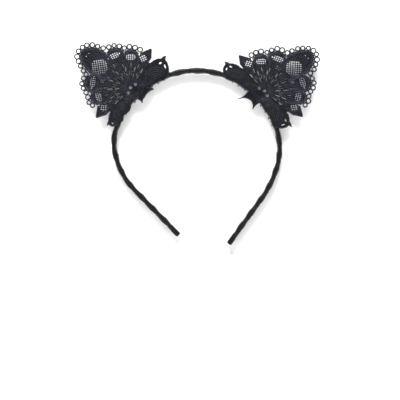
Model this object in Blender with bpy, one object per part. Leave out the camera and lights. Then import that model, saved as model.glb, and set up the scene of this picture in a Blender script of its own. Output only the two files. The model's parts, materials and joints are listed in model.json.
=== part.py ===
"""Cat-ear headband: a ribbon-wound spring arch with two openwork lace ears sewn along its crown.

The arch stands upright as it is worn: X runs across the head, +Z is up and the front faces -Y.
The origin is the middle of the crown's inner face, where the band rests on the head.
Sizes are in millimetres and are turned to metres when a mesh is made.
"""

import math

import bmesh
import bpy
from mathutils import Matrix, Vector

MM = 0.001
FIT_GAP = 0.3  # clearance between pieces that touch

# Spring core: a narrow steel strip on edge to the head.
CORE_WIDTH = 4.6
CORE_THICKNESS = 1.2
CORE_CORNER = 0.2

# Ribbon wound over the core.
RIBBON_WALL = 1.0  # several layers, pressed together
RIBBON_CORNER = 1.2
TUCK_LENGTH = 9.0  # ribbon end folded over each tip
TUCK_END_WALL = 0.7
TUCK_END_SHARE = 0.7  # size of the rounded end face against the section

# The arch, from the crown's middle outwards: radius and sweep of each arc, then a straight tail.
CROWN_RADIUS = 65.0
CROWN_SWEEP = math.radians(70.5)
LEFT_ARM = {"arcs": [(36.0, math.radians(28.0)), (57.0, math.radians(36.0))], "tail": 47.4}
RIGHT_ARM = {"arcs": [(50.0, math.radians(35.0)), (79.0, math.radians(20.5))], "tail": 42.0}
ARMS = {-1: LEFT_ARM, 1: RIGHT_ARM}
STATION_STEP = 6.5  # spacing of the sections along the arch

# Flexing: each arm turns about a line across the band.
FLEX_AT = 12.0  # distance of the flex line from the crown's middle
FLEX_GAP = 0.7  # space left across the flex line

# Lace plate, in front of the band.
LACE_THICKNESS = 0.8
NET_THICKNESS = 0.4
HINGE_GAP = 0.3  # each side of the fold line

# Fan of the ear, drawn round its hub. u runs along the band, v away from it.
HUB_DROP = 6.2  # hub below the line of the two side spikes
EAR_REACH = 45.8  # hub to the end of the tip petal
TIP_CENTRE = 29.3  # hub to the middle of the tip petal
PETALS = [  # direction from the axis in degrees, centre from the hub, half length, half width
    (0.0, TIP_CENTRE, EAR_REACH - TIP_CENTRE, 9.2),
    (28.5, 25.4, 8.0, 7.3),
    (53.5, 22.3, 7.3, 6.5),
]
SPIKE_ANGLE = 79.7
SPIKE_REACH = 34.4
SPIKE_ROOT = 28.3
SPIKE_UPPER_WIDTH = 12.0  # degrees
SPIKE_LOWER_WIDTH = 6.0
SPIKE_HOLLOW = 1.3  # how hollow the spikes' flanks are, 1 for straight ones
FAN_HALF_ANGLE = 88.0
FAN_STEPS = 22  # parts that each half of the fan's outline is drawn in
FAN_ROOT = 24.0  # hub to the outline where the fan meets the spray
WINDOWS = {  # net windows: direction, centre from the hub, half along the ray, half across it
    "tip": (0.0, 28.5, 6.5, 6.2),
    "inner": (27.0, 28.3, 2.2, 5.6),
    "outer": (53.4, 24.4, 2.6, 4.2),
    "spike": (74.8, 25.0, 3.2, 3.0),
}
SLOTS = [(angle, reach) for angle in (14.0, 40.0, 65.0, 85.0) for reach in (10.0, 15.2)]
SLOT_HALF = (2.0, 0.65)  # along the ray, across it
HUB_EYELETS = [(0.0, -6.2), (4.2, -7.6), (-4.2, -7.6)]
HUB_EYELET_HALF = 1.1
SIDE_EYELET = (21.0, 21.5, 1.7, 1.7)

# Base spray, drawn along the band: s along the arch from the ear's seat, h out from its middle.
EAR_SEAT = math.radians(45.2)  # seat of each ear, from the top of the crown
SEAT_TO_SPIKES = 13.6  # band middle to the line of the side spikes
SPRAY_TOP = (21.7, 10.6)
SPRAY_CORNER = (28.0, 9.6)
THORN = (31.5, 9.1)
THORN_ROOT = (29.6, 7.2)
SPRAY_END = (30.6, 1.8)
SPRAY_HEEL = 28.4  # half length of the edge sewn to the band
SPRAY_LAP = 1.2  # how far the spray laps past the band's middle
SPRAY_EYELETS = [(23.6, 8.7, 1.3, 0.55), (27.0, 7.9, 1.0, 0.55), (29.2, 5.0, 0.5, 1.2)]
HOOK_ROOT = 6.3  # half width of the pair of hooks where they leave the band
HOOK_VALLEY = 5.5
HOOK_HOLLOW = 0.9  # bow of the inner edges of the hooks
HOOK_FLANK = 1.0  # hollow of their outer edges
SCALLOP_DEPTH = 2.3  # scallops between stitches, on the edge sewn to the band
ARC_STEPS = 4  # parts of each bowed edge
HEEL_STEPS = 5  # parts of each sewn edge

# How many sides the openings are drawn with.
WINDOW_SIDES = 16
EYELET_SIDES = 8
SLOT_SIDES = 6

# The two ears are sewn by hand, so each leans its own way. Angles are in degrees.
LEFT_EAR = {
    "lean": 10.6,  # turn of the fan away from square to the band
    "bend": -3.3,  # turn of the tip petal on the fan
    "turn": 6.1,  # turn of the line of side spikes
    "slide": 0.2,  # shift of the fan along the band
    "lift": -0.6,
    "hook_at": -4.3,
    "hook_tips": ((5.3, -8.0), (-9.7, -4.9)),
    "low_share": 0.94,  # length of the spray's lower half against its upper half
    "scallops": 2,  # how many, at the lower end
}
RIGHT_EAR = {
    "lean": 6.9,
    "bend": -0.9,
    "turn": -1.3,
    "slide": 2.9,
    "lift": -0.9,
    "hook_at": -0.3,
    "hook_tips": ((7.0, -9.5), (-8.9, -11.6)),
    "low_share": 1.0,
    "scallops": 0,
}
EARS = {-1: LEFT_EAR, 1: RIGHT_EAR}
FOLD_CLEARANCE = 1.6  # fold line outside the ribbon's outer face

# Picot edging: a row of small loops round the petals.
PICOT_RADIUS = 1.95
PICOT_THREAD = 0.75
PICOT_STANDOFF = 3.1
PICOT_SPACING = 4.0
PICOT_HALF_ANGLE = 66.0
PICOT_GAP = 0.45  # edging clear of the petals
PICOT_STEPS = 120  # points along the edging
PICOT_TRIES = 400  # places along the edging that are tried for the next loop
OUTLINE_STEPS = 6  # points along each side of the fan's outline that the edging follows

# Whip stitch that holds the spray to the band.
THREAD_RADIUS = 0.25
STITCH_PITCH = 6.0
STITCH_MARGIN = 1.4  # last stitch from the end of the sewn edge
STITCH_CORNER = 0.34  # radius of the thread's bends round the lace and the band
STITCH_SLACK = 0.1  # how much shorter the slanting runs behind the band are, at each end
STITCH_SLANT = 1 / 6  # share of the pitch before and after each slanting run
EYELET_MARGIN = 0.6  # eyelets stay this far from the fold line
CUT_TOLERANCE = 1e-5  # points nearer the fold line than this count as on it
SMOOTH_ANGLE = math.radians(50.0)  # flatter edges than this are shaded smooth

# Values that follow.
CAVITY_HALF = (CORE_WIDTH / 2 + FIT_GAP, CORE_THICKNESS / 2 + FIT_GAP)
BAND_HALF = (CAVITY_HALF[0] + RIBBON_WALL, CAVITY_HALF[1] + RIBBON_WALL)
BAND_MIDDLE = BAND_HALF[1]  # height of the band's middle line above the origin, at the crown
LACE_BACK = -(BAND_HALF[0] + FIT_GAP)
LACE_FRONT = LACE_BACK - LACE_THICKNESS
LACE_MIDDLE = (LACE_BACK + LACE_FRONT) / 2
STITCH_OUT = BAND_HALF[1] + FIT_GAP + THREAD_RADIUS
STITCH_FRONT = LACE_FRONT - FIT_GAP - THREAD_RADIUS
STITCH_BACK = BAND_HALF[0] + FIT_GAP + THREAD_RADIUS
NEEDLE_HOLE = THREAD_RADIUS + FIT_GAP
BEND_MIDDLE = STITCH_CORNER * (1 - math.sqrt(0.5))  # corner to the middle of a thread's bend
BEND_DRIFT = STITCH_CORNER / 10  # sideways start of the slant within a bend
SIDE_NAMES = {-1: "left", 1: "right"}


def clear_scene():
    for thing in list(bpy.data.objects):
        bpy.data.objects.remove(thing, do_unlink=True)


def make_material(name, colour, roughness, metallic):
    material = bpy.data.materials.new(name)
    material.use_nodes = True
    shader = material.node_tree.nodes["Principled BSDF"]
    shader.inputs["Base Color"].default_value = (*colour, 1.0)
    shader.inputs["Roughness"].default_value = roughness
    shader.inputs["Metallic"].default_value = metallic
    return material


def add_empty(name, place, parent=None):
    """Joint marker at a place given in millimetres."""
    empty = bpy.data.objects.new(name, None)
    bpy.context.scene.collection.objects.link(empty)
    empty.parent = parent
    start = Vector(parent["place"]) if parent else Vector((0, 0, 0))
    empty.location = (Vector(place) - start) * MM
    empty["place"] = tuple(place)
    return empty


def add_node(name, mesh_data, material, parent):
    """Link a bmesh drawn in millimetres as one named object that hangs on its joint marker."""
    bmesh.ops.recalc_face_normals(mesh_data, faces=mesh_data.faces)
    bmesh.ops.transform(
        mesh_data,
        matrix=Matrix.Scale(MM, 4) @ Matrix.Translation(-Vector(parent["place"])),
        verts=mesh_data.verts,
    )
    mesh = bpy.data.meshes.new(name)
    mesh_data.to_mesh(mesh)
    mesh_data.free()
    mesh.shade_smooth()
    mesh.set_sharp_from_angle(angle=SMOOTH_ANGLE)
    mesh.materials.append(material)
    node = bpy.data.objects.new(name, mesh)
    bpy.context.scene.collection.objects.link(node)
    node.parent = parent
    return node


# ---------------------------------------------------------------- the arch


def arm_arcs(side):
    return [(CROWN_RADIUS, CROWN_SWEEP)] + ARMS[side]["arcs"]


def arm_length(side):
    return sum(radius * sweep for radius, sweep in arm_arcs(side)) + ARMS[side]["tail"]


def arch_frame(side, along):
    """Middle line of the band: point, outward direction and forward direction, in the XZ plane."""
    x, z, heading, left = 0.0, BAND_MIDDLE, 0.0, along
    for radius, sweep in arm_arcs(side):
        step = min(left, radius * sweep)
        turned = heading + step / radius
        x += radius * (math.sin(turned) - math.sin(heading))
        z -= radius * (math.cos(heading) - math.cos(turned))
        heading = turned
        left -= step
        if left <= 0:
            break
    x += max(left, 0.0) * math.cos(heading)
    z -= max(left, 0.0) * math.sin(heading)
    point = Vector((side * x, 0, z))
    outward = Vector((side * math.sin(heading), 0, math.cos(heading)))
    forward = Vector((side * math.cos(heading), 0, -math.sin(heading)))
    return point, outward, forward


def section_loop(half_width, half_thickness, corner):
    """Rectangle with cut corners, as (across, outward) pairs."""
    w, t = half_width, half_thickness
    return [
        (w, t - corner), (w - corner, t), (corner - w, t), (-w, t - corner),
        (-w, corner - t), (corner - w, -t), (w - corner, -t), (w, corner - t),
    ]  # fmt: skip


def add_ring(mesh_data, side, along, loop):
    point, outward, _ = arch_frame(side, along)
    return [mesh_data.verts.new(point + outward * t + Vector((0, w, 0))) for w, t in loop]


def bridge(mesh_data, ring_a, ring_b):
    count = len(ring_a)
    for i in range(count):
        j = (i + 1) % count
        mesh_data.faces.new((ring_a[i], ring_a[j], ring_b[j], ring_b[i]))


def stations(start, end):
    """Places along the arch, one pair of them level with the crown's middle when it is spanned."""
    if start < 0 < end:
        flat = STATION_STEP / 2
        return [start, -flat, flat, end]
    count = max(1, math.ceil((end - start) / STATION_STEP))
    return [start + (end - start) * i / count for i in range(count + 1)]


OUTER_LOOP = section_loop(*BAND_HALF, RIBBON_CORNER)
CAVITY_LOOP = section_loop(*CAVITY_HALF, FIT_GAP)
CORE_LOOP = section_loop(CORE_WIDTH / 2, CORE_THICKNESS / 2, CORE_CORNER)


def core_mesh(side, start, end):
    """Solid strip between two places along the arch."""
    data = bmesh.new()
    rings = [add_ring(data, side, along, CORE_LOOP) for along in stations(start, end)]
    for ring_a, ring_b in zip(rings, rings[1:]):
        bridge(data, ring_a, ring_b)
    data.faces.new(rings[0])
    data.faces.new(rings[-1])
    return data


def ribbon_mesh(side, start, end):
    """Ribbon sleeve, open at both ends, with the core's cavity through it."""
    data = bmesh.new()
    places = stations(start, end)
    outer = [add_ring(data, side, along, OUTER_LOOP) for along in places]
    inner = [add_ring(data, side, along, CAVITY_LOOP) for along in places]
    for rings in (outer, inner):
        for ring_a, ring_b in zip(rings, rings[1:]):
            bridge(data, ring_a, ring_b)
    bridge(data, outer[0], inner[0])
    bridge(data, outer[-1], inner[-1])
    return data


def tuck_mesh(side, start, core_end):
    """Ribbon end folded over the tip: a cup that the core's end sits in."""
    data = bmesh.new()
    floor = core_end + FIT_GAP
    cup_end = floor + TUCK_END_WALL
    small = [(w * TUCK_END_SHARE, t * TUCK_END_SHARE) for w, t in OUTER_LOOP]
    outer = [
        add_ring(data, side, start, OUTER_LOOP),
        add_ring(data, side, floor, OUTER_LOOP),
        add_ring(data, side, cup_end, small),
    ]
    inner = [add_ring(data, side, start, CAVITY_LOOP), add_ring(data, side, floor, CAVITY_LOOP)]
    bridge(data, outer[0], outer[1])
    bridge(data, outer[1], outer[2])
    bridge(data, inner[0], inner[1])
    bridge(data, outer[0], inner[0])
    data.faces.new(outer[2])
    data.faces.new(inner[1])
    return data


def build_arch(materials, pivots):
    """Core strip, ribbon sleeves and the ribbon's folded ends."""
    crown_end = FLEX_AT - FLEX_GAP / 2
    arm_start = FLEX_AT + FLEX_GAP / 2
    add_node("core_crown", core_mesh(1, -crown_end, crown_end), materials["steel"], pivots["crown"])
    ribbon = ribbon_mesh(1, -crown_end, crown_end)
    add_node("ribbon_crown", ribbon, materials["ribbon"], pivots["crown"])
    for side, name in SIDE_NAMES.items():
        pivot = pivots[name]
        core_end = arm_length(side)
        ribbon_end = core_end - TUCK_LENGTH
        core = core_mesh(side, arm_start, core_end)
        add_node(f"core_{name}", core, materials["steel"], pivot)
        ribbon = ribbon_mesh(side, arm_start, ribbon_end)
        add_node(f"ribbon_{name}", ribbon, materials["ribbon"], pivot)
        tuck = tuck_mesh(side, ribbon_end + FIT_GAP, core_end)
        add_node(f"tip_tuck_{name}", tuck, materials["ribbon"], pivot)


# ---------------------------------------------------------------- the lace ears


def turned(vector, degrees):
    """Turn a direction of the XZ plane towards the lower end of its own side."""
    return Matrix.Rotation(math.radians(degrees), 3, "Y") @ vector


class EarPlace:
    """Where one ear sits: its seat on the band, the fan's two directions and its fold line."""

    def __init__(self, side):
        self.side = side
        self.shape = EARS[side]
        self.seat_along = CROWN_RADIUS * EAR_SEAT
        seat, outward, forward = arch_frame(side, self.seat_along)
        self.axis = turned(outward, side * self.shape["lean"])
        self.width = turned(forward, side * self.shape["turn"])
        self.middle = seat + outward * (SEAT_TO_SPIKES + self.shape["lift"])
        self.middle += forward * self.shape["slide"]
        self.normal = turned(self.width, -side * 90)
        arch_middle = Vector((0, 0, BAND_MIDDLE - CROWN_RADIUS))
        reach = CROWN_RADIUS + BAND_HALF[1] + FOLD_CLEARANCE
        drop = (self.middle - arch_middle).dot(self.normal) - reach
        on_line = self.middle - self.axis * (drop / self.axis.dot(self.normal))
        self.fold_point = Vector((on_line.x, LACE_MIDDLE, on_line.z))

    def on_fan(self, u, v):
        """Point of the fan: u along the band, v away from it, from the line of side spikes."""
        return self.middle + self.width * u + self.axis * v

    def on_ray(self, angle, reach):
        """Point of the fan at an angle in degrees and a distance from its hub."""
        turn = math.radians(angle)
        return self.on_fan(reach * math.sin(turn), reach * math.cos(turn) - HUB_DROP)

    def fan_reach(self, angle):
        return fan_reach(angle, self.shape["bend"])

    def on_band(self, s, h):
        """Point of the spray: s along the arch from the seat, h out from the band's middle.

        Beyond the band the spray tilts with the line of side spikes.
        """
        point, outward, _ = arch_frame(self.side, self.seat_along + s)
        tilt = math.radians(self.shape["turn"]) * s / THORN[1]
        return point + outward * (h - max(h, 0.0) * tilt)


def ellipse_reach(angle, petal):
    """Distance from the hub to the far side of a petal along a ray, or 0 where the ray misses it."""
    direction, centre, half_length, half_width = petal
    turn = math.radians(angle - direction)
    if abs(turn) > math.pi / 2:
        return 0.0
    a = (math.cos(turn) / half_length) ** 2 + (math.sin(turn) / half_width) ** 2
    b = -2 * centre * math.cos(turn) / half_length**2
    c = (centre / half_length) ** 2 - 1
    root = b * b - 4 * a * c
    return (-b + math.sqrt(root)) / (2 * a) if root > 0 else 0.0


def spike_reach(angle):
    """Distance from the hub to the edge of the pointed side petal."""
    off = angle - SPIKE_ANGLE
    width = SPIKE_LOWER_WIDTH if off > 0 else SPIKE_UPPER_WIDTH
    share = max(0.0, 1.0 - abs(off) / width)
    return SPIKE_ROOT + (SPIKE_REACH - SPIKE_ROOT) * share**SPIKE_HOLLOW if share else 0.0


def fan_reach(angle, bend):
    """Outline of the whole fan, as a distance from the hub, with its tip petal turned by bend."""
    side_petals = [ellipse_reach(abs(angle), petal) for petal in PETALS[1:]]
    tip_petal = ellipse_reach(angle - bend, PETALS[0])
    return max([FAN_ROOT, spike_reach(abs(angle)), tip_petal] + side_petals)


def arc(start, end, bulge, steps=ARC_STEPS):
    """Points from start up to end, bowed sideways by bulge; the end itself is left out."""
    (x0, y0), (x1, y1) = start, end
    length = math.hypot(x1 - x0, y1 - y0)
    points = []
    for i in range(steps):
        t = i / steps
        push = bulge * 4 * t * (1 - t) / length
        points.append((x0 + (x1 - x0) * t + (y1 - y0) * push, y0 + (y1 - y0) * t - (x1 - x0) * push))
    return points


def fan_angles():
    """Angles of the fan's outline, with the spikes' tips among them."""
    angles = [FAN_HALF_ANGLE * i / FAN_STEPS for i in range(FAN_STEPS + 1)] + [SPIKE_ANGLE]
    return sorted({round(sign * angle, 3) for angle in angles for sign in (1, -1)})


def spray_outline(shape):
    """Edge of the base spray from the fan's lower end to its upper end, as (s, h) pairs."""
    (low_s, low_h), (high_s, high_h) = shape["hook_tips"]
    at = shape["hook_at"]
    lap = -SPRAY_LAP
    upper_end = [SPRAY_TOP, SPRAY_CORNER, THORN, THORN_ROOT, SPRAY_END, (SPRAY_HEEL, lap)]
    points = [(s * shape["low_share"], h) for s, h in upper_end]
    pinches = [place for place in reversed(stitch_places(shape)) if place > at + HOOK_ROOT]
    ends = pinches[: shape["scallops"] + 1] if shape["scallops"] else []
    for start, end in zip(ends, ends[1:]):
        points += arc((start, lap), (end, lap), -SCALLOP_DEPTH)
    last = (ends[-1], lap) if ends else points.pop()
    points += arc(last, (at + HOOK_ROOT, lap), 0.0, HEEL_STEPS)
    points += arc((at + HOOK_ROOT, lap), (at + low_s, low_h), HOOK_FLANK)
    points += arc((at + low_s, low_h), (at, -HOOK_VALLEY), HOOK_HOLLOW)
    points += arc((at, -HOOK_VALLEY), (at + high_s, high_h), HOOK_HOLLOW)
    points += arc((at + high_s, high_h), (at - HOOK_ROOT, lap), HOOK_FLANK)
    points += arc((at - HOOK_ROOT, lap), (-SPRAY_HEEL, lap), 0.0, HEEL_STEPS)
    points += [(-s, h) for s, h in reversed(upper_end)]
    return points


def stitch_places(shape):
    """Places of the stitches along the band, worked out from the hooks so that none meets their sides."""
    count = math.ceil(2 * SPRAY_HEEL / STITCH_PITCH)
    places = [shape["hook_at"] + (i + 0.5) * STITCH_PITCH for i in range(-count, count)]
    first = STITCH_MARGIN - SPRAY_HEEL
    last = SPRAY_HEEL * shape["low_share"] - STITCH_MARGIN
    return [place for place in places if first < place < last]


def round_turns(count):
    return [2 * math.pi * i / count for i in range(count)]


def window_loop(ear, window, inset, count):
    """Loop round a net window, drawn as an ellipse set on its ray."""
    angle, reach, along, across = window
    turn = math.radians(angle)
    u, v = reach * math.sin(turn), reach * math.cos(turn) - HUB_DROP
    loop = []
    for t in round_turns(count):
        far, wide = (along - inset) * math.cos(t), (across - inset) * math.sin(t)
        loop.append(ear.on_fan(
            u + far * math.sin(turn) + wide * math.cos(turn),
            v + far * math.cos(turn) - wide * math.sin(turn),
        ))  # fmt: skip
    return loop


def band_loop(ear, s, h, half_s, half_h, count):
    """Loop round an eyelet of the spray."""
    turns = round_turns(count)
    return [ear.on_band(s + half_s * math.cos(t), h + half_h * math.sin(t)) for t in turns]


def mirrored(window):
    return (-window[0],) + tuple(window[1:])


def both_sides(window):
    return [window] if window[0] == 0 else [window, mirrored(window)]


def clear_of_fold(ear, loop):
    """True where a loop lies wholly on one side of the fold line, with a margin."""
    heights = [(point - ear.fold_point).dot(ear.normal) for point in loop]
    return min(heights) > EYELET_MARGIN or max(heights) < -EYELET_MARGIN


def fan_holes(ear):
    loops = []
    for window in WINDOWS.values():
        loops += [window_loop(ear, one, 0.0, WINDOW_SIDES) for one in both_sides(window)]
    for angle, reach in SLOTS:
        slot = (angle, reach, *SLOT_HALF)
        loops += [window_loop(ear, one, 0.0, SLOT_SIDES) for one in both_sides(slot)]
    loops += [window_loop(ear, one, 0.0, EYELET_SIDES) for one in both_sides(SIDE_EYELET)]
    half = HUB_EYELET_HALF
    turns = round_turns(EYELET_SIDES)
    for u, v in HUB_EYELETS:
        loops.append([ear.on_fan(u + half * math.cos(t), v + half * math.sin(t)) for t in turns])
    return loops


def spray_holes(ear):
    """Eyelets of the spray and the needle holes that the stitches pass through."""
    loops = []
    for s, h, half_s, half_h in SPRAY_EYELETS:
        for place in (s * ear.shape["low_share"], -s):
            loop = band_loop(ear, place, h, half_s, half_h, SLOT_SIDES)
            if clear_of_fold(ear, loop):
                loops.append(loop)
    for place in stitch_places(ear.shape):
        rise = ear.on_band(place, 1.0) - ear.on_band(place, 0.0)
        hole = (NEEDLE_HOLE, NEEDLE_HOLE, EYELET_SIDES)
        loops.append(band_loop(ear, place, STITCH_OUT / rise.length, *hole))
        if abs(place - ear.shape["hook_at"]) < HOOK_ROOT:
            loops.append(band_loop(ear, place, -STITCH_OUT, *hole))
    return loops


def flat_fill(loops):
    """Fill an outline and its holes with triangles in the XZ plane."""
    data = bmesh.new()
    for loop in loops:
        verts = [data.verts.new((point.x, 0, point.z)) for point in loop]
        for a, b in zip(verts, verts[1:] + verts[:1]):
            data.edges.new((a, b))
    bmesh.ops.triangle_fill(data, use_beauty=True, edges=data.edges[:], normal=(0, -1, 0))
    return data


def thicken(data, middle, thickness):
    """Turn a flat sheet in the XZ plane into a plate round the given depth."""
    bmesh.ops.translate(data, vec=(0, middle - thickness / 2, 0), verts=data.verts[:])
    grown = bmesh.ops.extrude_face_region(data, geom=data.faces[:])
    moved = [item for item in grown["geom"] if isinstance(item, bmesh.types.BMVert)]
    bmesh.ops.translate(data, vec=(0, thickness, 0), verts=moved)


def keep_beyond(data, ear, direction):
    """Cut a flat sheet along the fold line and keep the side that direction points to."""
    flat_point = Vector((ear.fold_point.x, 0, ear.fold_point.z)) + direction * HINGE_GAP
    bmesh.ops.bisect_plane(
        data,
        geom=data.verts[:] + data.edges[:] + data.faces[:],
        plane_co=flat_point,
        plane_no=-direction,
        clear_outer=True,
        dist=CUT_TOLERANCE,
    )


def lace_sheet(ear):
    """The whole lace motif as a flat sheet: fan above, spray below."""
    outline = [ear.on_ray(angle, ear.fan_reach(angle)) for angle in fan_angles()]
    outline += [ear.on_band(s, h) for s, h in spray_outline(ear.shape)]
    return flat_fill([outline] + fan_holes(ear) + spray_holes(ear))


def ray_offset(angle, reach):
    turn = math.radians(angle)
    return reach * math.sin(turn), reach * math.cos(turn)


def outline_run(ear):
    """Points close together along the fan's outline, as angle and distance from the hub."""
    corners = [ray_offset(angle, ear.fan_reach(angle)) for angle in fan_angles()]
    run = []
    for (x0, y0), (x1, y1) in zip(corners, corners[1:]):
        for i in range(OUTLINE_STEPS):
            t = i / OUTLINE_STEPS
            x, y = x0 + (x1 - x0) * t, y0 + (y1 - y0) * t
            run.append((math.degrees(math.atan2(x, y)), math.hypot(x, y)))
    return run


def furthest(angle, middles, radius):
    """How far out a ray meets circles of one radius set round points given as angle and reach."""
    reach = 0.0
    for middle_angle, middle_reach in middles:
        turn = math.radians(angle - middle_angle)
        across = middle_reach * math.sin(turn)
        if abs(turn) < math.pi / 2 and abs(across) < radius:
            reach = max(reach, middle_reach * math.cos(turn) + math.sqrt(radius**2 - across**2))
    return reach


def picot_rings(run):
    """Middles of the picot loops, one spacing apart along the fan's outline."""
    rings, last = [], None
    for i in range(PICOT_TRIES + 1):
        angle = PICOT_HALF_ANGLE * (2 * i / PICOT_TRIES - 1)
        reach = furthest(angle, run, PICOT_STANDOFF)
        point = ray_offset(angle, reach)
        if last is None or math.dist(point, last) >= PICOT_SPACING:
            rings.append((angle, reach))
            last = point
    return rings


def picot_sheet(ear):
    """Strip of small loops round the petals, with an eye in each loop."""
    run = outline_run(ear)
    rings = picot_rings(run)
    spread = math.degrees(PICOT_RADIUS / rings[0][1])
    first, last = rings[0][0] - spread, rings[-1][0] + spread
    angles = [first + (last - first) * i / PICOT_STEPS for i in range(PICOT_STEPS + 1)]
    outline = []
    for angle in angles:
        middle = furthest(angle, run, PICOT_STANDOFF)
        reach = max(middle, furthest(angle, rings, PICOT_RADIUS))
        outline.append(ear.on_ray(angle, reach))
    corners = [first] + [angle for angle in fan_angles() if first < angle < last] + [last]
    outline += [ear.on_ray(angle, furthest(angle, run, PICOT_GAP)) for angle in reversed(corners)]
    eye = PICOT_RADIUS - PICOT_THREAD
    eyes = [window_loop(ear, (angle, reach, eye, eye), 0.0, SLOT_SIDES) for angle, reach in rings]
    return flat_fill([outline] + eyes)


def stitch_path(ear):
    """Route of the sewing thread: up the front, back past the outer face, then on to the next."""
    corner = STITCH_CORNER
    out, front, back = STITCH_OUT, STITCH_FRONT, STITCH_BACK
    path = []
    places = stitch_places(ear.shape)
    for place, following in zip(places, places[1:] + [None]):
        path += [
            (place, -out, back - corner), (place, -out, front + corner),
            (place, -out + BEND_MIDDLE, front + BEND_MIDDLE), (place, -out + corner, front),
            (place, out - corner, front), (place, out - BEND_MIDDLE, front + BEND_MIDDLE),
            (place, out, front + corner), (place, out, back - corner),
            (place + BEND_DRIFT, out - BEND_MIDDLE, back - BEND_MIDDLE),
        ]  # fmt: skip
        if following is None:
            break
        step = (following - place) * STITCH_SLANT
        end = out - corner - STITCH_SLACK
        path += [
            (place + step, end, back), (following - step, -end, back),
            (following - BEND_DRIFT, BEND_MIDDLE - out, back - BEND_MIDDLE),
        ]  # fmt: skip
    points = []
    for s, h, depth in path:
        point, outward, _ = arch_frame(ear.side, ear.seat_along + s)
        points.append(point + outward * h + Vector((0, depth, 0)))
    return points


def add_thread(name, points, material, parent):
    """Sewing thread as a round curve with closed ends."""
    curve = bpy.data.curves.new(name, "CURVE")
    curve.dimensions = "3D"
    curve.bevel_depth = THREAD_RADIUS * MM
    curve.bevel_resolution = 1
    curve.use_fill_caps = True
    spline = curve.splines.new("POLY")
    spline.points.add(len(points) - 1)
    for spot, point in zip(spline.points, points):
        spot.co = (*((point - Vector(parent["place"])) * MM), 1.0)
    curve.materials.append(material)
    thread = bpy.data.objects.new(name, curve)
    bpy.context.scene.collection.objects.link(thread)
    thread.parent = parent
    return thread


def build_ear(ear, materials, arm, fold):
    """One lace ear: spray and seam on the arm, fan with its nets and edging beyond the fold line."""
    name = SIDE_NAMES[ear.side]
    spray = lace_sheet(ear)
    keep_beyond(spray, ear, -ear.normal)
    thicken(spray, LACE_MIDDLE, LACE_THICKNESS)
    add_node(f"lace_base_{name}", spray, materials["lace"], arm)

    fan = lace_sheet(ear)
    keep_beyond(fan, ear, ear.normal)
    thicken(fan, LACE_MIDDLE, LACE_THICKNESS)
    add_node(f"lace_fan_{name}", fan, materials["lace"], fold)

    for window_name, window in WINDOWS.items():
        for one in both_sides(window):
            net = flat_fill([window_loop(ear, one, FIT_GAP, WINDOW_SIDES)])
            thicken(net, LACE_MIDDLE, NET_THICKNESS)
            where = {0: "", 1: "_lower", -1: "_upper"}[(one[0] > 0) - (one[0] < 0)]
            add_node(f"net_{window_name}{where}_{name}", net, materials["net"], fold)

    picots = picot_sheet(ear)
    thicken(picots, LACE_MIDDLE, LACE_THICKNESS)
    add_node(f"picot_edging_{name}", picots, materials["lace"], fold)
    add_thread(f"seam_thread_{name}", stitch_path(ear), materials["thread"], arm)


def build():
    clear_scene()
    materials = {
        "steel": make_material("spring steel", (0.42, 0.43, 0.45), 0.35, 1.0),
        "ribbon": make_material("satin ribbon", (0.022, 0.021, 0.024), 0.38, 0.0),
        "lace": make_material("embroidery thread", (0.028, 0.026, 0.034), 0.6, 0.0),
        "net": make_material("embroidered net", (0.035, 0.033, 0.042), 0.7, 0.0),
        "thread": make_material("sewing thread", (0.02, 0.02, 0.022), 0.55, 0.0),
    }
    pivots = {"crown": add_empty("crown", (0, 0, 0))}
    ears = {side: EarPlace(side) for side in SIDE_NAMES}
    for side, name in SIDE_NAMES.items():
        flex_point = arch_frame(side, FLEX_AT)[0]
        pivots[name] = add_empty(f"{name}_arm_flex", flex_point, pivots["crown"])
    build_arch(materials, pivots)
    for side, name in SIDE_NAMES.items():
        fold = add_empty(f"{name}_ear_fold", ears[side].fold_point, pivots[name])
        build_ear(ears[side], materials, pivots[name], fold)


build()
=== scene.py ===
"""Looks of a cat-ear headband: two openwork lace ears sewn to a ribbon-wound spring arch.

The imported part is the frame. Every piece here is drawn in its coordinates: X runs across the
head, +Z is up, the front faces -Y, and the origin is the middle of the crown's inner face.
"""

import json
import math
import random

import bpy
from mathutils import Matrix, Vector


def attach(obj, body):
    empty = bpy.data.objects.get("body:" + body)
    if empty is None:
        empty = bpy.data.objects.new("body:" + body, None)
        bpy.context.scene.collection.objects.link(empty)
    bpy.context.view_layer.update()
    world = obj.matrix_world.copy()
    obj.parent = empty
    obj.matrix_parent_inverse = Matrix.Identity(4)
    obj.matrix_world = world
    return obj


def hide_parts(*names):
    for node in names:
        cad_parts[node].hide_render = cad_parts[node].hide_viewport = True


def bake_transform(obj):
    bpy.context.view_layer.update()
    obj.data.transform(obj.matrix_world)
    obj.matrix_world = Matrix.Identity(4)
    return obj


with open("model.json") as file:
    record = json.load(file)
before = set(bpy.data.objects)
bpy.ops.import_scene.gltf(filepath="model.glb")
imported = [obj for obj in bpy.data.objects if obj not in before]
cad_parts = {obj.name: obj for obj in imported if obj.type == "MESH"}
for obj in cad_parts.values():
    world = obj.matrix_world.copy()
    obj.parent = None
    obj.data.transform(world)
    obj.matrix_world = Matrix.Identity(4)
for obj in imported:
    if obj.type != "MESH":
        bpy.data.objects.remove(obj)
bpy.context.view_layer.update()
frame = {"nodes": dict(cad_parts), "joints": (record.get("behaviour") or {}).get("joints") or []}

MM = 0.001  # lengths below are in millimetres

# ---------------------------------------------------------------- camera
# A catalogue view: square on to the front, level with the lower arms, and far enough away that
# the narrow band shows next to no perspective.
VIEW_FROM = (2.9, -700.0, -97.7)
VIEW_LENS = 81.8

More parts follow.
